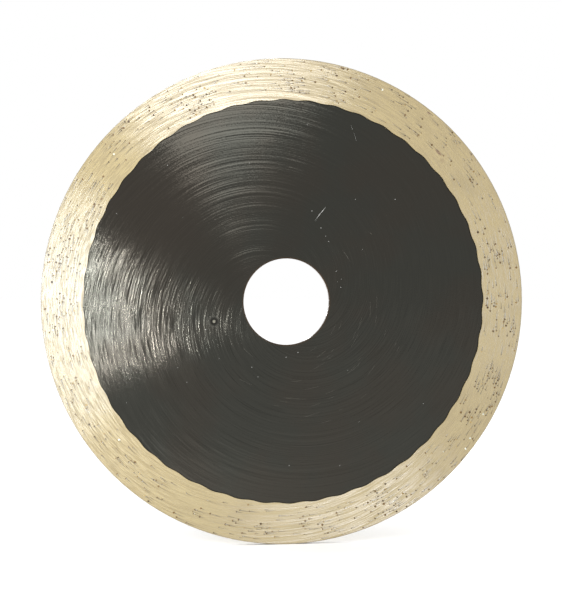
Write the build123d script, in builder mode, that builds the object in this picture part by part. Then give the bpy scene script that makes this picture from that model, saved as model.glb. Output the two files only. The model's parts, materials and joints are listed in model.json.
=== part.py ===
from build123d import *
import os
import random
from math import acos, cos, degrees, hypot, isclose, pi, radians, sin, sqrt

# A continuous-rim diamond blade for cutting tile and stone: a steel disc with a
# round bore, and a bronze-bonded diamond rim pressed over its scalloped edge.
# Millimetres. The blade stands upright and spins about the Y axis. Its front
# face looks towards -Y, +Z is up, and the origin is the centre of the bore,
# halfway through the steel.

# Driving dimensions
BLADE_DIAMETER = 125.0
BORE_DIAMETER = 22.23
CORE_THICKNESS = 1.2
RIM_THICKNESS = 1.8
RIM_INNER_DIAMETER = 103.84     # mean of the wavy edge where the rim's lips end
TONGUE_DEPTH = 1.2              # how far the steel runs on inside the rim
TONGUE_THICKNESS = 1.0

# The scallops that key the rim to the steel
WAVE_COUNT = 48
WAVE_AMPLITUDE = 0.16
FIRST_CREST_ANGLE = 0.9         # degrees from +X towards +Z

# Edge breaks
BORE_CHAMFER = 0.12
RIM_EDGE_RADIUS = 0.2

# The round mark left in the steel by a ball hardness test
TEST_BALL_DIAMETER = 2.5
TEST_MARK_DEPTH = 0.17
TEST_MARK_RADIUS = 19.4         # from the blade's centre
TEST_MARK_ANGLE = 195.0         # degrees from +X towards +Z

# Diamond crystals: octahedra of three sieve sizes, about a third of each
CRYSTAL_EDGES = (0.27, 0.32, 0.37)
CRYSTALS_PER_FLANK = 54
CRYSTALS_ON_CUTTING_EDGE = 36
CRYSTAL_GAP = 0.08              # least bond between two neighbours
CRYSTAL_TILT = 24.0             # most degrees that a crystal's outer facet leans
LEAST_EXPOSURE = 0.03           # how far a crystal's top stands out of the bond
MOST_EXPOSURE = 0.06
EDGE_BAND_WIDTH = 0.7           # width of the crystals' band on the cutting edge
FLANK_SEEDS = {-1: 21, 1: 22}   # by the side of the blade along Y
CUTTING_EDGE_SEED = 23

# Worked out from the driving dimensions
BLADE_RADIUS = BLADE_DIAMETER / 2
RIM_INNER_RADIUS = RIM_INNER_DIAMETER / 2
TONGUE_RADIUS = RIM_INNER_RADIUS + TONGUE_DEPTH
LARGEST_CRYSTAL = sqrt(2) * max(CRYSTAL_EDGES)      # tip to tip
FLANK_INNER_RADIUS = TONGUE_RADIUS + WAVE_AMPLITUDE + LARGEST_CRYSTAL / 2
FLANK_OUTER_RADIUS = BLADE_RADIUS - RIM_EDGE_RADIUS - LARGEST_CRYSTAL

os.makedirs("parts", exist_ok=True)


def polar_point(radius, half_waves):
    """A point in a face's sketch, by radius and by half waves from the first crest."""
    angle = radians(FIRST_CREST_ANGLE + half_waves * 180 / WAVE_COUNT)
    return (radius * cos(angle), radius * sin(angle))


def scalloped_edge(mean_radius):
    """A closed wavy line: an arc over each crest and an arc through each trough."""
    for half_wave in range(2 * WAVE_COUNT):
        middle = mean_radius + WAVE_AMPLITUDE * (-1) ** half_wave
        ThreePointArc(
            polar_point(mean_radius, half_wave - 0.5),
            polar_point(middle, half_wave),
            polar_point(mean_radius, half_wave + 0.5),
        )


def scalloped_disc(mean_radius, thickness):
    """A wavy-edged disc, centred on the blade, for the builder in use to add or cut."""
    with BuildPart(mode=Mode.PRIVATE) as disc:
        with BuildSketch(side_face(thickness)):
            with BuildLine():
                scalloped_edge(mean_radius)
            make_face()
        extrude(amount=-thickness)
    return disc.part


def side_face(thickness):
    """The front face plane of a disc of this thickness, looking out towards -Y."""
    return Plane.XZ.offset(thickness / 2)


def is_bore_edge(edge):
    return isclose(edge.radius, BORE_DIAMETER / 2)


def flank_seats(side):
    """Planes on one flank of the rim, facing out, each where a crystal lies."""
    rng = random.Random(FLANK_SEEDS[side])
    spacing = LARGEST_CRYSTAL + CRYSTAL_GAP
    seats = []
    while len(seats) < CRYSTALS_PER_FLANK:
        angle = rng.uniform(0, 2 * pi)
        radius = sqrt(rng.uniform(FLANK_INNER_RADIUS ** 2, FLANK_OUTER_RADIUS ** 2))
        x = radius * cos(angle)
        z = radius * sin(angle)
        if all(hypot(x - seat.origin.X, z - seat.origin.Z) > spacing for seat in seats):
            seats.append(Plane((x, side * RIM_THICKNESS / 2, z), z_dir=(0, side, 0)))
    return seats


def cutting_edge_seats():
    """Planes round the rim's outer surface, facing out, one for each crystal."""
    rng = random.Random(CUTTING_EDGE_SEED)
    pitch = 2 * pi / CRYSTALS_ON_CUTTING_EDGE
    seats = []
    for step in range(CRYSTALS_ON_CUTTING_EDGE):
        angle = (step + rng.uniform(-0.35, 0.35)) * pitch
        y = rng.uniform(-EDGE_BAND_WIDTH / 2, EDGE_BAND_WIDTH / 2)
        outward = (cos(angle), 0, sin(angle))
        point = (BLADE_RADIUS * cos(angle), y, BLADE_RADIUS * sin(angle))
        seats.append(Plane(point, z_dir=outward))
    return seats


def octahedron(edge):
    """A crystal centred on the origin, with one of its facets facing +Z."""
    tip = edge / sqrt(2)
    with BuildPart() as crystal:
        with BuildSketch():
            RegularPolygon(tip, 4)
        loft([Vertex(0, 0, -tip), crystal.pending_faces[0], Vertex(0, 0, tip)], ruled=True)
    facet_slope = degrees(acos(1 / sqrt(3)))
    return crystal.part.rotate(Axis.Z, 45).rotate(Axis.Y, -facet_slope)


def bed_crystals(seats, seed):
    """One crystal in each seat, turned at random and sunk until it barely shows."""
    rng = random.Random(seed)
    shapes = [octahedron(edge) for edge in CRYSTAL_EDGES]
    crystals = []
    for seat in seats:
        tilt = rng.uniform(0, CRYSTAL_TILT)
        lean = rng.uniform(0, 360)
        spin = rng.uniform(0, 360)
        turned = rng.choice(shapes).rotate(Axis.Z, spin).rotate(Axis.X, tilt)
        turned = turned.rotate(Axis.Z, lean)
        exposure = rng.uniform(LEAST_EXPOSURE, MOST_EXPOSURE)
        sunk = exposure - turned.bounding_box().max.Z
        crystals.append(turned.moved(seat.location * Location((0, 0, sunk))))
    return crystals


tongue_disc = scalloped_disc(TONGUE_RADIUS, TONGUE_THICKNESS)
core_disc = scalloped_disc(RIM_INNER_RADIUS, CORE_THICKNESS)

# The steel core: a flat disc with a wavy edge, and a thinner tongue beyond it
with BuildPart() as core:
    add(tongue_disc)
    add(core_disc)
    with BuildSketch(side_face(CORE_THICKNESS)):
        Circle(BORE_DIAMETER / 2)
    extrude(amount=-CORE_THICKNESS, mode=Mode.SUBTRACT)
    round_edges = core.edges().filter_by(GeomType.CIRCLE)
    chamfer(round_edges.filter_by(is_bore_edge), BORE_CHAMFER)
    mark_angle = radians(TEST_MARK_ANGLE)
    ball_centre = (
        TEST_MARK_RADIUS * cos(mark_angle),
        -CORE_THICKNESS / 2 - TEST_BALL_DIAMETER / 2 + TEST_MARK_DEPTH,
        TEST_MARK_RADIUS * sin(mark_angle),
    )
    with Locations(ball_centre):
        Sphere(TEST_BALL_DIAMETER / 2, mode=Mode.SUBTRACT)
core.part.label = "core"

front_crystals = bed_crystals(flank_seats(-1), FLANK_SEEDS[-1])
back_crystals = bed_crystals(flank_seats(1), FLANK_SEEDS[1])
edge_crystals = bed_crystals(cutting_edge_seats(), CUTTING_EDGE_SEED)

# The rim: a thicker ring with a lip over each face of the core, a groove that
# the core's tongue fills, and a pocket round every crystal
with BuildPart() as rim:
    with BuildSketch(side_face(RIM_THICKNESS)):
        Circle(BLADE_RADIUS)
    extrude(amount=-RIM_THICKNESS)
    outer_edges = rim.edges().filter_by(GeomType.CIRCLE)
    fillet(outer_edges, RIM_EDGE_RADIUS)
    add(scalloped_disc(RIM_INNER_RADIUS, RIM_THICKNESS), mode=Mode.SUBTRACT)
    add(tongue_disc, mode=Mode.SUBTRACT)
    for crystals in (front_crystals, back_crystals, edge_crystals):
        add(crystals, mode=Mode.SUBTRACT)
rim.part.label = "rim"

# The exposed crystals, in three groups of separate solids
with BuildPart() as grit_front_flank:
    add(front_crystals)
grit_front_flank.part.label = "grit_front_flank"

with BuildPart() as grit_back_flank:
    add(back_crystals)
grit_back_flank.part.label = "grit_back_flank"

with BuildPart() as grit_cutting_edge:
    add(edge_crystals)
grit_cutting_edge.part.label = "grit_cutting_edge"

export_step(core.part, "parts/core.step")
export_step(rim.part, "parts/rim.step")
export_step(grit_front_flank.part, "parts/grit_front_flank.step")
export_step(grit_back_flank.part, "parts/grit_back_flank.step")
export_step(grit_cutting_edge.part, "parts/grit_cutting_edge.step")
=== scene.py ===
import json
import math
import random

import bmesh
import bpy
from mathutils import Euler, Matrix, Vector


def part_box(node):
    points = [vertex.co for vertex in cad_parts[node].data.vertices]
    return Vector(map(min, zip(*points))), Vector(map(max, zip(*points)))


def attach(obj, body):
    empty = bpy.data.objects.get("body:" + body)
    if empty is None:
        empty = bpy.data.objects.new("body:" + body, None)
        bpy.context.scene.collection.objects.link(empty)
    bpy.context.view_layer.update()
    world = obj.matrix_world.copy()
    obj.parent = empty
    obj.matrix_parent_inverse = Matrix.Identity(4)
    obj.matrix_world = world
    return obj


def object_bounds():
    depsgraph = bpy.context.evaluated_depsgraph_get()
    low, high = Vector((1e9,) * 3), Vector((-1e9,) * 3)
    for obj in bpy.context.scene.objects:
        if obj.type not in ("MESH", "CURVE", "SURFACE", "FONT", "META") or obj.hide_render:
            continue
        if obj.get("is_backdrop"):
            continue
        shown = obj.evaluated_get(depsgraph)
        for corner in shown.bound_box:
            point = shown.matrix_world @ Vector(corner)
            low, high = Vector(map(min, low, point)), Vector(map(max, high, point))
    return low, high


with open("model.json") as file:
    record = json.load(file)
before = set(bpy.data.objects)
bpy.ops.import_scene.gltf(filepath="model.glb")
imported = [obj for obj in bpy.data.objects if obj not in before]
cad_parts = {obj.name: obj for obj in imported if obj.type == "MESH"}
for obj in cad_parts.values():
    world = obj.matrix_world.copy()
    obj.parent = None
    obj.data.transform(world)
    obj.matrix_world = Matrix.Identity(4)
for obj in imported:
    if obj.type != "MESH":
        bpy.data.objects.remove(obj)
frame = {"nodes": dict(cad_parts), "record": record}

cad_low, cad_high = (list(corner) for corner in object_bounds())

# ---------------------------------------------------------------- measures
# Millimetres and degrees here. Angles run from +X towards +Z, as seen from
# the front, and the blade's front face looks towards -Y.
MM = 0.001

core_low, core_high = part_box("core")
rim_low, rim_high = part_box("rim")
CORE_FACE = core_high.y / MM            # half the steel's thickness
RIM_FACE = rim_high.y / MM              # half the rim's thickness
BLADE_RADIUS = rim_high.x / MM
BORE_RADIUS = frame["record"]["mounts"][0]["dims"]["r_mm"]

LIP_EDGE = 51.92                        # mean radius of the wavy edge
WAVE_COUNT = 48
WAVE_AMPLITUDE = 0.16
FIRST_CREST_ANGLE = 0.9
TEST_MARK_RADIUS = 19.4
TEST_MARK_ANGLE = 195.0
BROWN_REFLECTION_RADIUS = 41.0                      # the middle of a painted brown reflection on the steel
BROWN_REFLECTION_ANGLE = 145.0

# The brushing on the core is a set of spirals: the line across a groove
# passes this far from the centre.
BRUSH_OFFSET = 5.8
# distance between streaks, length of a streak, detail of the noise, and a shift between fields
FINE_BRUSH = (0.24, 8.0, 2.0, 0.0)
BROAD_BRUSH = (0.9, 12.0, 1.0, 11.0)
WEAR_BRUSH = (0.22, 8.0, 2.0, 23.0)
FINE_RINGS = (0.30, 2.8, 2.0, 0.0)
HAIR_RINGS = (0.16, 2.6, 1.0, 7.0)
STEEL_ROUGHEST = 0.152
STEEL_SMOOTHEST = 0.062
STEEL_ANISOTROPY = 0.8
BOND_ANISOTROPY = 1.0
DIAMOND_INDEX = 1.33                    # lower than real diamond's, to keep the crystals dark

# ---------------------------------------------------------------- camera
VIEW_AZIMUTH = -8.30
VIEW_ELEVATION = 0.98
VIEW_DISTANCE = 413.6
VIEW_TARGET = (-1.21, 0.0, 1.71)
LENS = 97.93
SENSOR_WIDTH = 36.0
NEAREST = 0.01                          # metres
FARTHEST = 20.0                         # metres


def polar(radius, angle, y):
    """A point in metres from millimetres and an angle in degrees."""
    turn = math.radians(angle)
    return Vector((radius * math.cos(turn), y, radius * math.sin(turn))) * MM


def direction(azimuth, elevation):
    """The unit vector towards a place seen from the blade, azimuth 0 being -Y."""
    turn = math.radians(azimuth)
    rise = math.radians(elevation)
    flat = math.cos(rise)
    return Vector((math.sin(turn) * flat, -math.cos(turn) * flat, math.sin(rise)))


def make_camera():
    """The camera at the chosen view."""
    data = bpy.data.cameras.new("camera")
    data.lens = LENS
    data.sensor_width = SENSOR_WIDTH
    data.clip_start = NEAREST
    data.clip_end = FARTHEST
    camera = bpy.data.objects.new("camera", data)
    bpy.context.collection.objects.link(camera)
    camera.location = direction(VIEW_AZIMUTH, VIEW_ELEVATION) * VIEW_DISTANCE * MM
    aim = Vector(VIEW_TARGET) * MM - camera.location
    camera.rotation_mode = "QUATERNION"
    camera.rotation_quaternion = aim.to_track_quat("-Z", "Y")
    bpy.context.scene.camera = camera


# ---------------------------------------------------------------- light
WHITE = (1.0, 1.0, 1.0)
COOL = (0.90, 1.0, 1.12)
SKY_STRENGTH = 1.0

# These rows came out of a fitting program. Only the strip's height and radiance, the
# high lamp's radiance and the side lamp's tint were then changed.
# name, azimuth, elevation, distance, width, height, roll, radiance, tint, what it falls on
LAMPS = (
    ("strip", -4.4, -0.9, 500, 86, 1.6, -70.1, 378.0, WHITE, "steel"),
    ("top", -3.4, 22.5, 500, 276, 126, -42.7, 3.93, WHITE, "steel"),
    ("side", -33.2, -0.3, 128, 90, 70, -46.7, 10.0, COOL, "rim"),
    ("high", -3.7, 31.9, 1015, 678, 438, -41.1, 13.2, WHITE, "rim"),
)
# side of the blade, degrees round from the front, and which way azimuth and roll run
SIDES = (("front", 0.0, 1), ("back", 180.0, -1))

OVERHEAD_ELEVATION = 89.0
OVERHEAD_DISTANCE = 1500
OVERHEAD_SIZE = 2400
OVERHEAD_RADIANCE = 0.55

# name, azimuth and distance of two small lamps that face down and light a pool of floor
POOLS = (("front", -45.0, 140.0), ("back", 135.0, 235.0))
POOL_SIZE = 90
POOL_RADIANCE = 7.0


def area_light(name, azimuth, elevation, distance, width, height, roll, radiance, tint=WHITE):
    """A rectangular lamp that faces the blade's centre and is itself hidden from the camera."""
    data = bpy.data.lights.new(name, "AREA")
    data.shape = "RECTANGLE"
    data.size = width * MM
    data.size_y = height * MM
    data.energy = radiance * math.pi * data.size * data.size_y
    data.color = tint
    lamp = bpy.data.objects.new(name, data)
    bpy.context.collection.objects.link(lamp)
    towards = direction(azimuth, elevation)
    lamp.location = towards * distance * MM
    facing = (-towards).to_track_quat("-Z", "Y")
    lamp.rotation_mode = "QUATERNION"
    lamp.rotation_quaternion = facing @ Euler((0, 0, math.radians(roll))).to_quaternion()
    lamp.visible_camera = False
    return lamp


def make_sky():
    """An even white world all round."""
    world = bpy.data.worlds.new("studio")
    bpy.context.scene.world = world
    world.use_nodes = True
    sky = world.node_tree.nodes["Background"]
    sky.inputs["Color"].default_value = WHITE + (1.0,)
    sky.inputs["Strength"].default_value = SKY_STRENGTH


def light_only(lamp, lit):
    """Links a lamp to these objects, so that it falls on nothing else."""
    group = bpy.data.collections.new(lamp.name + "_falls_on")
    for thing in lit:
        group.objects.link(thing)
    lamp.light_linking.receiver_collection = group


def make_lights(floor, steel, rim):
    """Lamps for the steel and for the rim on each side, and three for the floor."""
    falls_on = {"steel": steel, "rim": rim}
    for side, turn, flip in SIDES:
        for name, azimuth, elevation, distance, width, height, roll, radiance, tint, lit in LAMPS:
            lamp = area_light(
                name + "_light_" + side, turn + flip * azimuth, elevation, distance,
                width, height, flip * roll, radiance, tint)
            light_only(lamp, falls_on[lit])
    overhead = area_light(
        "floor_light", 0.0, OVERHEAD_ELEVATION, OVERHEAD_DISTANCE,
        OVERHEAD_SIZE, OVERHEAD_SIZE, 0.0, OVERHEAD_RADIANCE)
    light_only(overhead, [floor])
    for name, azimuth, distance in POOLS:
        pool = area_light(
            "pool_" + name, azimuth, 0.0, distance, POOL_SIZE, POOL_SIZE, 0.0, POOL_RADIANCE)
        pool.rotation_quaternion = (1.0, 0.0, 0.0, 0.0)
        light_only(pool, [floor])


# ---------------------------------------------------------------- floor
FLOOR_RADIUS = 4.0                      # metres
FLOOR_CORNERS = 96


def make_floor():
    """A plain pale floor that the blade's lowest point touches."""
    mesh = bpy.data.meshes.new("floor")
    work = bmesh.new()
    bmesh.ops.create_circle(work, cap_ends=True, segments=FLOOR_CORNERS, radius=FLOOR_RADIUS)
    work.to_mesh(mesh)
    work.free()
    floor = bpy.data.objects.new("floor", mesh)
    bpy.context.collection.objects.link(floor)
    floor.location.z = cad_low[2]
    paper = bpy.data.materials.new("floor_paper")
    paper.use_nodes = True
    shader = paper.node_tree.nodes["Principled BSDF"]
    shader.inputs["Base Color"].default_value = WHITE + (1.0,)
    shader.inputs["Roughness"].default_value = 1.0
    shader.inputs["Specular IOR Level"].default_value = 0.0
    mesh.materials.append(paper)
    floor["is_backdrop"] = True
    return floor


# ---------------------------------------------------------------- materials
class Shader:
    """A material with short calls for the nodes that this script needs."""

    def __init__(self, name):
        self.material = bpy.data.materials.new(name)
        self.material.use_nodes = True
        self.nodes = self.material.node_tree.nodes
        self.links = self.material.node_tree.links
        self.surface = self.nodes["Principled BSDF"]
        place = self.nodes.new("ShaderNodeTexCoord").outputs["Object"]
        self.place = self.vector("SCALE", place, scale=1 / MM)
        split = self.nodes.new("ShaderNodeSeparateXYZ")
        self.links.new(self.place, split.inputs[0])
        self.x, self.y, self.z = split.outputs
        across = self.math("MULTIPLY", self.x, self.x)
        self.radius = self.math("SQRT", self.math("MULTIPLY_ADD", self.z, self.z, across))
        self.angle = self.math("ARCTAN2", self.z, self.x)
        self.front = self.ramp(self.y, -0.1, 0.1, 1.0, 0.0)     # 1 on the front, 0 on the back

    def feed(self, socket, value):
        if isinstance(value, bpy.types.NodeSocket):
            self.links.new(value, socket)
        else:
            socket.default_value = value

    def math(self, operation, *values):
        node = self.nodes.new("ShaderNodeMath")
        node.operation = operation
        for socket, value in zip(node.inputs, values):
            self.feed(socket, value)
        return node.outputs[0]

    def vector(self, operation, *values, scale=None):
        node = self.nodes.new("ShaderNodeVectorMath")
        node.operation = operation
        for socket, value in zip(node.inputs, values):
            self.feed(socket, value)
        if scale is not None:
            node.inputs["Scale"].default_value = scale
        return node.outputs["Value" if operation in ("LENGTH", "DISTANCE") else "Vector"]

    def combine(self, x, y, z):
        node = self.nodes.new("ShaderNodeCombineXYZ")
        for socket, value in zip(node.inputs, (x, y, z)):
            self.feed(socket, value)
        return node.outputs[0]

    def noise(self, place, scale=1.0, detail=2.0):
        node = self.nodes.new("ShaderNodeTexNoise")
        node.noise_dimensions = "3D"
        self.links.new(place, node.inputs["Vector"])
        node.inputs["Scale"].default_value = scale
        node.inputs["Detail"].default_value = detail
        node.inputs["Roughness"].default_value = 0.5
        return node.outputs["Fac"]

    def ramp(self, value, low, high, to_low=0.0, to_high=1.0, smooth=True):
        node = self.nodes.new("ShaderNodeMapRange")
        node.interpolation_type = "SMOOTHSTEP" if smooth else "LINEAR"
        node.clamp = True
        for socket, given in zip(node.inputs, (value, low, high, to_low, to_high)):
            self.feed(socket, given)
        return node.outputs[0]

    def mix(self, factor, first, second):
        """Blends two numbers."""
        node = self.nodes.new("ShaderNodeMix")
        for place, given in ((0, factor), (2, first), (3, second)):
            self.feed(node.inputs[place], given)
        return node.outputs[0]

    def blend(self, factor, first, second):
        """Blends two colours."""
        node = self.nodes.new("ShaderNodeMix")
        node.data_type = "RGBA"
        self.feed(node.inputs["Factor"], factor)
        self.feed(node.inputs[6], first)
        self.feed(node.inputs[7], second)
        return node.outputs[2]

    def near(self, radius, angle, inner, outer):
        """1 within a spot on the front, fading to 0 from inner to outer millimetres."""
        turn = math.radians(angle)
        middle = (radius * math.cos(turn), 0.0, radius * math.sin(turn))
        flat = self.combine(self.x, 0.0, self.z)
        spot = self.ramp(self.vector("DISTANCE", flat, middle), inner, outer, 1.0, 0.0)
        return self.math("MULTIPLY", spot, self.front)

    def smear(self, radius, angle, half_length, half_width):
        """1 within a spot on the front, drawn out along the circle, fading to its outline."""
        turn = math.radians(angle)
        along = self.math("MULTIPLY", self.math("SUBTRACT", self.angle, turn), radius / half_length)
        across = self.math("MULTIPLY_ADD", self.radius, 1 / half_width, -radius / half_width)
        spot = self.ramp(self.vector("LENGTH", self.combine(along, across, 0.0)), 0.3, 1.0, 1.0, 0.0)
        return self.math("MULTIPLY", spot, self.front)

    def grooved(self, tangent, across, along):
        """The surface normal, tilted across the grooves and along them."""
        normal = self.nodes.new("ShaderNodeNewGeometry").outputs["Normal"]
        tilt = self.vector("ADD", normal, self.vector("MULTIPLY", tangent, self.same(across)))
        lengthwise = self.vector("CROSS_PRODUCT", normal, tangent)
        tilt = self.vector("ADD", tilt, self.vector("MULTIPLY", lengthwise, self.same(along)))
        return self.vector("NORMALIZE", tilt)

    def same(self, value):
        """A vector whose three numbers are all this one."""
        return self.combine(value, value, value)

    def spread(self, noise, width):
        """Noise turned into a number between -width and +width."""
        return self.math("MULTIPLY_ADD", noise, 2 * width, -width)

    def set(self, **values):
        for name, value in values.items():
            self.feed(self.surface.inputs[name.replace("_", " ")], value)


def turned_tangent(shader, offset, wander):
    """The direction across the grooves: radial, turned by the brush's offset."""
    lean = shader.math("ARCSINE", shader.math("DIVIDE", offset, shader.radius))
    angle = shader.math("SUBTRACT", shader.angle, lean)
    angle = shader.math("ADD", angle, wander)
    return shader.combine(shader.math("COSINE", angle), 0.0, shader.math("SINE", angle))


def brush_lines(shader, offset, spacing, length, detail, shift):
    """Streaks along the spiral grooves, joined from two fields whose cuts lie apart."""
    ratio = shader.math("DIVIDE", offset, shader.radius)
    squares = shader.math("MULTIPLY_ADD", shader.radius, shader.radius, -offset * offset)
    rise = shader.math("SQRT", squares)
    bend = shader.math("MULTIPLY", shader.math("ARCCOSINE", ratio), offset)
    unwound = shader.math("SUBTRACT", rise, bend)
    behind = shader.math("ARCTAN2", shader.math("MULTIPLY", shader.z, -1.0),
                         shader.math("MULTIPLY", shader.x, -1.0))
    fields = []
    for turn, side in ((shader.angle, 0.0), (behind, 37.0)):
        across = shader.math("MULTIPLY_ADD", turn, -offset, unwound)
        across = shader.math("DIVIDE", across, spacing)
        along = shader.vector("SCALE", shader.place, scale=1 / length)
        apart = shader.combine(across, side + shift, 0.0)
        fields.append(shader.noise(shader.vector("ADD", along, apart), detail=detail))
    seam = shader.noise(shader.place, scale=0.25, detail=1.0)
    side = shader.math("MULTIPLY_ADD", seam, 16.0, shader.x)
    return shader.mix(shader.ramp(side, 2.0, 14.0), fields[1], fields[0])


def ring_lines(shader, spacing, length, detail, shift):
    """Streaks along circles about the bore."""
    across = shader.math("DIVIDE", shader.radius, spacing)
    along = shader.vector("SCALE", shader.place, scale=1 / length)
    apart = shader.combine(across, shift, 0.0)
    return shader.noise(shader.vector("ADD", along, apart), detail=detail)


def wave_gap(shader):
    """Millimetres beyond the wavy edge, below 0 on the core."""
    turn = shader.math("SUBTRACT", shader.angle, math.radians(FIRST_CREST_ANGLE))
    wave = shader.math("COSINE", shader.math("MULTIPLY", turn, WAVE_COUNT))
    edge = shader.math("MULTIPLY_ADD", wave, WAVE_AMPLITUDE, LIP_EDGE)
    return shader.math("SUBTRACT", shader.radius, edge)


OXIDE_WARM = (0.0432, 0.0400, 0.0335, 1)
OXIDE_COOL = (0.0408, 0.0410, 0.0352, 1)
OXIDE_STREAK = (0.075, 0.072, 0.062, 1)
# the colour of a painted brown reflection on the steel
PAINTED_BROWN_REFLECTION = (0.0500, 0.0440, 0.0365, 1)
BORE_BROWN = (0.09, 0.055, 0.03, 1)
MARK_RING = (0.012, 0.012, 0.011, 1)
MARK_DENT = (0.22, 0.21, 0.17, 1)
# the colour of a painted shadow where the rim's lip stands above the steel
PAINTED_LIP_SHADOW = (0.008, 0.007, 0.006, 1)


def blackened_steel():
    """Black oxide over circular brushing, with a dull ring round the test mark."""
    s = Shader("blackened_steel")
    fine = brush_lines(s, BRUSH_OFFSET, *FINE_BRUSH)
    broad = brush_lines(s, BRUSH_OFFSET, *BROAD_BRUSH)
    wear = brush_lines(s, BRUSH_OFFSET, *WEAR_BRUSH)
    grain = s.noise(s.place, scale=3.2, detail=1.0)
    pepper = s.noise(s.vector("ADD", s.place, (40.0, 0.0, 17.0)), scale=3.0, detail=0.0)
    cloud = s.noise(s.place, scale=0.05, detail=3.0)

    tangent = turned_tangent(s, BRUSH_OFFSET, s.spread(broad, 0.04))
    across = s.math("ADD", s.spread(fine, 0.125), s.spread(broad, 0.008))
    across = s.math("ADD", across, s.spread(grain, 0.04))
    s.set(Tangent=tangent, Normal=s.grooved(tangent, across, s.spread(pepper, 0.012)))

    tint = s.blend(s.ramp(cloud, 0.38, 0.62), OXIDE_WARM, OXIDE_COOL)
    tint = s.blend(s.ramp(fine, 0.25, 0.75, 0.0, 0.12), tint, OXIDE_STREAK)
    # a painted brown reflection on the front of the steel, on its upper left
    brown_reflection = s.near(BROWN_REFLECTION_RADIUS, BROWN_REFLECTION_ANGLE, 5.0, 24.0)
    tint = s.blend(brown_reflection, tint, PAINTED_BROWN_REFLECTION)
    by_bore = s.ramp(s.radius, BORE_RADIUS + 0.05, BORE_RADIUS + 0.5, 1.0, 0.0)
    tint = s.blend(s.math("MULTIPLY", by_bore, 0.6), tint, BORE_BROWN)
    halo = s.near(TEST_MARK_RADIUS, TEST_MARK_ANGLE, 0.5, 1.8)
    tint = s.blend(s.math("MULTIPLY", halo, 0.75), tint, MARK_RING)
    dent = s.near(TEST_MARK_RADIUS, TEST_MARK_ANGLE, 0.2, 0.55)
    tint = s.blend(dent, tint, MARK_DENT)
    # painted shadow along the wavy edge, where the rim's raised lip shades the steel
    shade = s.ramp(wave_gap(s), -0.32, -0.05, 0.0, 0.75)
    tint = s.blend(shade, tint, PAINTED_LIP_SHADOW)
    s.set(Base_Color=tint, Metallic=1.0)

    rough = s.ramp(wear, 0.32, 0.68, STEEL_ROUGHEST, STEEL_SMOOTHEST, smooth=False)
    rough = s.math("ADD", rough, s.spread(grain, 0.012))
    rough = s.mix(s.math("MULTIPLY", halo, 0.8), rough, 0.5)
    s.set(Roughness=s.mix(dent, rough, 0.35))
    s.surface.inputs["Anisotropic"].default_value = STEEL_ANISOTROPY
    return s.material


# Brown marks on the rim: radius, angle, half length along the circle, half width, strength
SMUDGES = (
    (55.7, 44.2, 1.6, 0.55, 0.9),
    (55.0, 41.8, 1.1, 0.7, 0.35),
    (61.6, 52.6, 0.8, 0.35, 0.9),
    (60.9, 108.5, 0.8, 0.45, 0.6),
)
SMUDGE_BROWN = (0.075, 0.035, 0.014, 1)


def bronze_bond(name, dark, pale, index, smoothest, roughest):
    """Ground sintered bronze: golden beige, with fine rings, and painted shade that turns it browner
    towards the rounded outer edge.
    """
    s = Shader(name)
    fine = ring_lines(s, *FINE_RINGS)
    hair = ring_lines(s, *HAIR_RINGS)
    grain = s.noise(s.place, scale=3.5, detail=2.0)
    cloud = s.noise(s.place, scale=0.12, detail=3.0)
    tangent = turned_tangent(s, 0.0, s.spread(fine, 0.05))
    across = s.math("ADD", s.spread(hair, 0.60), s.spread(fine, 0.30))
    across = s.math("ADD", across, s.spread(grain, 0.12))
    s.set(Tangent=tangent, Normal=s.grooved(tangent, across, s.spread(grain, 0.03)))

    light = s.math("ADD", s.math("MULTIPLY", fine, 0.4), s.math("MULTIPLY", hair, 0.6))
    tint = s.blend(s.ramp(light, 0.32, 0.68), dark, pale)
    brown = tuple(0.62 * channel for channel in dark[:3]) + (1,)
    tint = s.blend(s.math("MULTIPLY", s.ramp(cloud, 0.5, 0.75), 0.2), tint, brown)
    # painted shade: darker and browner towards the rounded outer edge
    edge = s.ramp(s.radius, BLADE_RADIUS - 0.6, BLADE_RADIUS, 0.0, 0.3)
    tint = s.blend(edge, tint, brown)
    for radius, angle, length, width, strength in SMUDGES:
        smear = s.math("MULTIPLY", s.smear(radius, angle, length, width), s.ramp(fine, 0.3, 0.6))
        tint = s.blend(s.math("MULTIPLY", smear, strength), tint, SMUDGE_BROWN)
    s.set(Base_Color=tint, Metallic=0.0)
    s.set(Roughness=s.ramp(fine, 0.3, 0.7, roughest, smoothest))
    s.surface.inputs["Anisotropic"].default_value = BOND_ANISOTROPY
    s.surface.inputs["IOR"].default_value = index
    return s.material


def diamond_crystal(name, dark, pale):
    """Synthetic diamond, its colour between two shades from crystal to crystal."""
    s = Shader(name)
    shade = s.noise(s.place, scale=1.3, detail=1.0)
    s.set(Base_Color=s.blend(s.ramp(shade, 0.4, 0.62), dark, pale))
    s.set(Roughness=s.ramp(s.noise(s.place, scale=12.0), 0.3, 0.7, 0.2, 0.4))
    s.surface.inputs["IOR"].default_value = DIAMOND_INDEX
    return s.material


def bare_steel(name, dark, bright):
    """Metal laid bare in a scratch."""
    s = Shader(name)
    grain = s.noise(s.place, scale=9.0, detail=2.0)
    s.set(Base_Color=s.blend(grain, dark, bright))
    s.set(Metallic=0.1, Roughness=s.ramp(grain, 0.3, 0.7, 0.35, 0.55))
    return s.material


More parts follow.
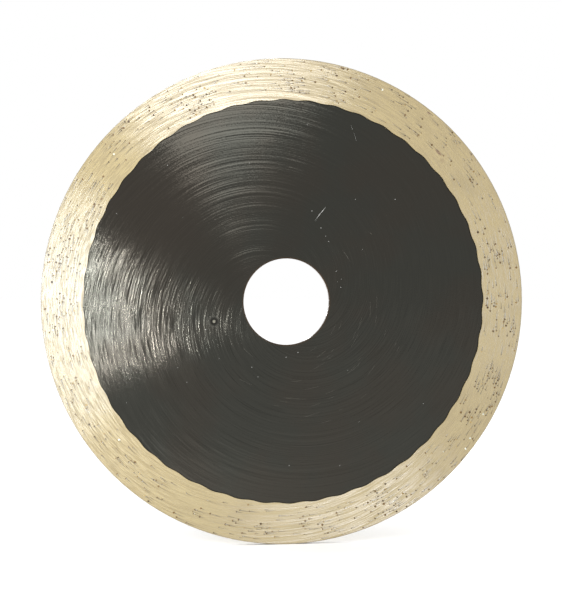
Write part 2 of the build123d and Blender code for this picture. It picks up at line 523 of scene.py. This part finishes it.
# ---------------------------------------------------------------- meshes
GRIT_PER_FLANK = 850
GRIT_ON_CUTTING_EDGE = 150
GRIT_EDGE_REACH = 0.4               # from the middle of the edge to a crystal's middle
GRIT_SIZES = (0.17, 0.34)           # half the width of a crystal
GRIT_SPACING = 0.45
GRIT_EXPOSURE = (0.025, 0.055)
GRIT_TILT = 16.0                    # most degrees that a crystal's outer facet leans
CLUMPS = 60
CROWDED_ANGLES = (20.0, 105.0, 158.0, 296.0)
CROWDED_SHARE = 0.5                 # of the clumps
CROWDED_SPREAD = 18.0
CLUMPED_SHARE = 0.45                # of the crystals
CLUMP_SPREAD = 1.3
GRIT_LOWEST = 53.0                  # the band of the flank that shows crystals
GRIT_HIGHEST = 62.1
GRIT_FROM_WAVY_EDGE = 0.9
DARK_BELOW = 0.80                   # a draw from 0 to 1 below this gives a dark crystal
AMBER_BELOW = 0.98                  # and one below this an amber crystal
BEHIND_FACE = 0.03                  # how far a tail's skirt goes into the bond


def wavy_edge(angle):
    """The radius of the rim's inner edge at an angle in degrees."""
    wave = math.cos(math.radians((angle - FIRST_CREST_ANGLE) * WAVE_COUNT))
    return LIP_EDGE + WAVE_AMPLITUDE * wave


def add_piece(name, vertices, faces, materials, face_materials=None, smooth=False):
    """A mesh in metres that rides on the blade, kept inside the CAD model's box."""
    mesh = bpy.data.meshes.new(name)
    kept = [[min(max(low, value), high) for low, value, high in zip(cad_low, vertex, cad_high)]
            for vertex in vertices]
    mesh.from_pydata(kept, [], faces)
    for material in materials:
        mesh.materials.append(material)
    if face_materials:
        mesh.polygons.foreach_set("material_index", face_materials)
    mesh.polygons.foreach_set("use_smooth", [smooth] * len(faces))
    mesh.validate()
    mesh.update()
    piece = bpy.data.objects.new(name, mesh)
    bpy.context.collection.objects.link(piece)
    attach(piece, "root")
    return piece


def blocky_crystal():
    """A cubo-octahedron of half width 1, as corner points and faces."""
    work = bmesh.new()
    for first in (-1, 1):
        for second in (-1, 1):
            work.verts.new((first, second, 0))
            work.verts.new((first, 0, second))
            work.verts.new((0, first, second))
    bmesh.ops.convex_hull(work, input=work.verts)
    bmesh.ops.dissolve_limit(work, angle_limit=0.01, verts=work.verts, edges=work.edges)
    bmesh.ops.recalc_face_normals(work, faces=work.faces)
    work.verts.index_update()
    corners = [vertex.co.copy() for vertex in work.verts]
    faces = [[vertex.index for vertex in face.verts] for face in work.faces]
    work.free()
    return corners, faces


def crystal_centres(node):
    """The middle of each separate crystal in a CAD node, in millimetres."""
    work = bmesh.new()
    work.from_mesh(frame["nodes"][node].data)
    bmesh.ops.remove_doubles(work, verts=work.verts, dist=1e-7)
    centres = []
    seen = set()
    for start in work.verts:
        if start in seen:
            continue
        group = [start]
        seen.add(start)
        for vertex in group:
            for edge in vertex.link_edges:
                other = edge.other_vert(vertex)
                if other not in seen:
                    seen.add(other)
                    group.append(other)
        centres.append(sum((v.co for v in group), Vector()) / len(group) / MM)
    work.free()
    return centres


def random_place(rng):
    """A radius and an angle on the flank, likelier towards the outside."""
    angle = rng.uniform(0, 360)
    while True:
        radius = rng.uniform(GRIT_LOWEST, GRIT_HIGHEST)
        share = (radius - GRIT_LOWEST) / (GRIT_HIGHEST - GRIT_LOWEST)
        if rng.random() < 0.4 + 0.6 * share:
            return radius, angle


def scatter_on_flank(rng, count, taken):
    """Places on a flank, as radius and angle, clear of each other and of those taken."""
    clumps = [random_place(rng) for _ in range(CLUMPS)]
    for index in range(round(CLUMPS * CROWDED_SHARE)):
        angle = rng.gauss(rng.choice(CROWDED_ANGLES), CROWDED_SPREAD)
        clumps[index] = (clumps[index][0], angle)
    places = []
    used = [Vector((c.x, c.z)) for c in taken]
    while len(places) < count:
        radius, angle = random_place(rng)
        if rng.random() < CLUMPED_SHARE:
            radius, angle = rng.choice(clumps)
            radius += rng.gauss(0, CLUMP_SPREAD)
            angle += math.degrees(rng.gauss(0, CLUMP_SPREAD) / radius)
        if not wavy_edge(angle) + GRIT_FROM_WAVY_EDGE < radius < GRIT_HIGHEST:
            continue
        turn = math.radians(angle)
        point = Vector((radius * math.cos(turn), radius * math.sin(turn)))
        if all((point - other).length > GRIT_SPACING for other in used):
            used.append(point)
            places.append((radius, angle))
    return places


def pick_look(rng):
    """Which diamond material a crystal has: most are dark, some amber, a few clear."""
    draw = rng.random()
    if draw < DARK_BELOW:
        return 0
    return 1 if draw < AMBER_BELOW else 2


def crystal_mesh(rng, places, sizes=GRIT_SIZES):
    """Crystals bedded at places given as (point, outward direction), in millimetres."""
    corners, pattern = blocky_crystal()
    vertices, faces, looks = [], [], []
    for point, outward in places:
        size = rng.uniform(*sizes)
        spin = Matrix.Rotation(rng.uniform(0, math.tau), 3, "Z")
        lean = Matrix.Rotation(math.radians(rng.uniform(0, GRIT_TILT)), 3, "X")
        swing = Matrix.Rotation(rng.uniform(0, math.tau), 3, "Z")
        turn = outward.to_track_quat("Z", "Y").to_matrix() @ swing @ lean @ spin
        shape = [turn @ (corner * size) for corner in corners]
        reach = max(corner.dot(outward) for corner in shape)
        middle = point + outward * (rng.uniform(*GRIT_EXPOSURE) - reach)
        first = len(vertices)
        vertices += [(middle + corner) * MM for corner in shape]
        faces += [[first + index for index in face] for face in pattern]
        looks += [pick_look(rng)] * len(pattern)
    return vertices, faces, looks


TAIL_STEPS = 9
TAIL_LENGTHS = (0.9, 3.2)
TAIL_HALF_WIDTHS = (0.07, 0.15)
TAIL_HEIGHTS = (0.018, 0.045)
TAIL_DRIFT = 0.02                   # how far a tail wanders inwards or outwards per millimetre
TAIL_TIP = 0.008                    # least half width
TAIL_PROFILE = ((-1.0, 0.0), (-0.55, 0.75), (0.0, 1.0), (0.55, 0.75), (1.0, 0.0))


def tail_mesh(rng, side, places):
    """Low ridges of bond behind the crystals, tapering off along the circle."""
    vertices, faces = [], []
    ring = len(TAIL_PROFILE) + 2
    for radius, angle in places:
        length = rng.uniform(*TAIL_LENGTHS)
        width = rng.uniform(*TAIL_HALF_WIDTHS)
        height = rng.uniform(*TAIL_HEIGHTS)
        drift = rng.uniform(-TAIL_DRIFT, TAIL_DRIFT)
        first = len(vertices)
        for step in range(TAIL_STEPS + 1):
            share = step / TAIL_STEPS
            spread = max(width * (1 - share) ** 0.7, TAIL_TIP)
            rise = height * (1 - share) ** 1.3
            along = angle + math.degrees(length * share / radius)
            middle = radius + drift * length * share
            outline = [(across * spread, up * rise) for across, up in TAIL_PROFILE]
            outline += [(spread, -BEHIND_FACE), (-spread, -BEHIND_FACE)]
            for across, up in outline:
                y = side * (RIM_FACE + up)
                vertices.append(polar(middle + across, along, y))
        for step in range(TAIL_STEPS):
            for index in range(ring):
                after = (index + 1) % ring
                low = first + step * ring
                high = low + ring
                face = (low + index, low + after, high + after, high + index)
                faces.append(face if side < 0 else face[::-1])
        start_cap = [first + index for index in range(ring)]
        end_cap = [first + TAIL_STEPS * ring + index for index in range(ring)]
        faces.append(start_cap[::-1] if side < 0 else start_cap)
        faces.append(end_cap if side < 0 else end_cap[::-1])
    return vertices, faces


def make_flank(name, side, seed):
    """The smaller crystals of one flank, and a tail behind every crystal on it."""
    rng = random.Random(seed)
    set_in_cad = crystal_centres("grit_%s_flank" % name)
    places = scatter_on_flank(rng, GRIT_PER_FLANK, set_in_cad)
    outward = Vector((0, side, 0))
    beds = [(polar(radius, angle, side * RIM_FACE) / MM, outward) for radius, angle in places]
    vertices, faces, looks = crystal_mesh(rng, beds)
    grit = add_piece("fine_grit_%s" % name, vertices, faces, diamonds, looks)
    cad_places = [(math.hypot(c.x, c.z), math.degrees(math.atan2(c.z, c.x))) for c in set_in_cad]
    vertices, faces = tail_mesh(rng, side, places + cad_places)
    tails = add_piece("bond_tails_%s" % name, vertices, faces, [polished], smooth=True)


def make_cutting_edge(seed):
    """The smaller crystals on the rim's outer surface."""
    rng = random.Random(seed)
    beds = []
    for step in range(GRIT_ON_CUTTING_EDGE):
        turn = math.tau * (step + rng.uniform(-0.4, 0.4)) / GRIT_ON_CUTTING_EDGE
        outward = Vector((math.cos(turn), 0, math.sin(turn)))
        y = rng.uniform(-GRIT_EDGE_REACH, GRIT_EDGE_REACH)
        beds.append((outward * BLADE_RADIUS + Vector((0, y, 0)), outward))
    vertices, faces, looks = crystal_mesh(rng, beds)
    grit = add_piece("fine_grit_cutting_edge", vertices, faces, diamonds, looks)


# Scratches on the front of the core, each a line of (x, z) points
SCRATCHES = (
    ((7.4, 20.8), (8.7, 22.6), (9.5, 23.5), (10.2, 24.4)),
    ((16.9, 45.5), (17.2, 44.4)),
    ((17.6, 43.6), (18.2, 41.6)),
)
SCRATCH_WIDTH = 0.16
SCRATCH_HEIGHT = 0.02
SWIRLS = 40                         # thin arcs left by the brush, most of them below the bore
SWIRL_STEPS = 6
SWIRL_RADII = (12.5, 34.0)
SWIRL_ANGLE = 305.0
SWIRL_SPREAD = 34.0
SWIRL_LENGTHS = (1.2, 4.5)
SWIRL_DRIFT = 0.35
# The plainest specks on the front of the core, as (x, z)
SPECK_SPOTS = (
    (19.0, -31.2), (5.4, 45.6), (28.5, 26.5), (16.0, -17.8), (13.3, 5.1), (14.2, 3.7), (13.1, 7.9),
    (11.0, 15.5), (10.2, 16.9), (9.0, 19.0), (-0.1, -14.3), (3.0, -13.1), (-9.0, -16.8), (-7.4, -19.3),
)
STRAY_SPECKS = 16
SPECK_SIZES = (0.035, 0.08)


def scratch_mesh(side, scratches, width):
    """Closed slivers of bare metal that taper at both ends, a hair above the steel."""
    vertices, faces = [], []
    for points in scratches:
        first = len(vertices)
        last = len(points) - 1
        for index, (x, z) in enumerate(points):
            before = Vector(points[max(index - 1, 0)])
            after = Vector(points[min(index + 1, last)])
            ahead = (after - before).normalized()
            half = width / 2 if 0 < index < last else width / 8
            for across, up in ((-half, -SCRATCH_HEIGHT), (half, -SCRATCH_HEIGHT), (0.0, SCRATCH_HEIGHT)):
                y = side * (CORE_FACE + up)
                vertices.append(Vector((x - ahead.y * across, y, z + ahead.x * across)) * MM)
        for index in range(last):
            low = first + 3 * index
            for corner in range(3):
                after = (corner + 1) % 3
                faces.append((low + corner, low + after, low + after + 3, low + corner + 3))
        faces.append((first + 2, first + 1, first))
        faces.append((first + 3 * last, first + 3 * last + 1, first + 3 * last + 2))
    return vertices, faces


def swirl_points(rng):
    """Points of an arc that nearly follows the brushing."""
    radius = rng.uniform(*SWIRL_RADII)
    start = rng.gauss(SWIRL_ANGLE, SWIRL_SPREAD)
    sweep = math.degrees(rng.uniform(*SWIRL_LENGTHS) / radius)
    drift = rng.uniform(-SWIRL_DRIFT, SWIRL_DRIFT)
    points = []
    for step in range(SWIRL_STEPS):
        share = step / (SWIRL_STEPS - 1)
        point = polar(radius + drift * share, start + sweep * share, 0.0) / MM
        points.append((point.x, point.z))
    return points


def make_scratches(name, side, scratches, seed):
    """Long scratches in bright metal, if any, and finer swirls in dull metal."""
    rng = random.Random(seed)
    swirls = [swirl_points(rng) for _ in range(SWIRLS)]
    if scratches:
        vertices, faces = scratch_mesh(side, scratches, SCRATCH_WIDTH)
        piece = add_piece("scratches_" + name, vertices, faces, [bare])
    vertices, faces = scratch_mesh(side, swirls, SCRATCH_WIDTH / 2)
    piece = add_piece("scratches_swirled_" + name, vertices, faces, [worn])


def make_specks(name, side, spots, seed):
    """Tiny grains of bare metal caught in the brushing."""
    rng = random.Random(seed)
    outward = Vector((0, side, 0))
    beds = [(Vector((x, side * CORE_FACE, z)), outward) for x, z in spots]
    for _ in range(STRAY_SPECKS):
        radius = rng.uniform(BORE_RADIUS + 1, LIP_EDGE - 1)
        angle = rng.uniform(0, 360)
        beds.append((polar(radius, angle, side * CORE_FACE) / MM, outward))
    vertices, faces = crystal_mesh(rng, beds, SPECK_SIZES)[:2]
    specks = add_piece("specks_%s" % name, vertices, faces, [bare])


make_camera()
make_sky()
core_steel = blackened_steel()
bond = bronze_bond(
    "bronze_bond", (0.163, 0.121, 0.052, 1), (0.232, 0.180, 0.082, 1), 1.9, 0.23, 0.36)
polished = bronze_bond(
    "polished_bond", (0.070, 0.050, 0.020, 1), (0.11, 0.083, 0.036, 1), 2.0, 0.22, 0.32)
diamonds = [
    # this dark colour is partly the crystals' own and partly painted shade of the pits they sit in
    diamond_crystal("diamond_dark", (0.030, 0.015, 0.004, 1), (0.100, 0.056, 0.018, 1)),
    diamond_crystal("diamond_amber", (0.12, 0.07, 0.022, 1), (0.24, 0.17, 0.07, 1)),
    diamond_crystal("diamond_clear", (0.34, 0.34, 0.28, 1), (0.55, 0.55, 0.48, 1)),
]
bare = bare_steel("bare_steel", (0.62, 0.62, 0.60, 1), (0.85, 0.85, 0.82, 1))
worn = bare_steel("worn_steel", (0.055, 0.052, 0.042, 1), (0.16, 0.15, 0.125, 1))


def dress(node, material):
    """Gives a CAD node this material all over."""
    thing = frame["nodes"][node]
    if not thing.material_slots:
        thing.data.materials.append(material)
    for slot in thing.material_slots:
        slot.material = material


dress("core", core_steel)
dress("rim", bond)
for group in ("grit_front_flank", "grit_back_flank", "grit_cutting_edge"):
    dress(group, diamonds[0])
make_flank("front", -1, 31)
make_flank("back", 1, 32)
make_cutting_edge(33)
make_scratches("front", -1, SCRATCHES, 36)
make_scratches("back", 1, (), 37)
make_specks("front", -1, SPECK_SPOTS, 34)
make_specks("back", 1, (), 35)

on_the_core = ("core", "scratches", "specks")
pieces = [thing for thing in bpy.data.objects if thing.type == "MESH"]
steel_pieces = [thing for thing in pieces if thing.name.startswith(on_the_core)]
rim_pieces = [thing for thing in pieces if not thing.name.startswith(on_the_core)]
make_lights(make_floor(), steel_pieces, rim_pieces)

scene = bpy.context.scene
scene.view_settings.view_transform = "Standard"
scene.view_settings.look = "None"
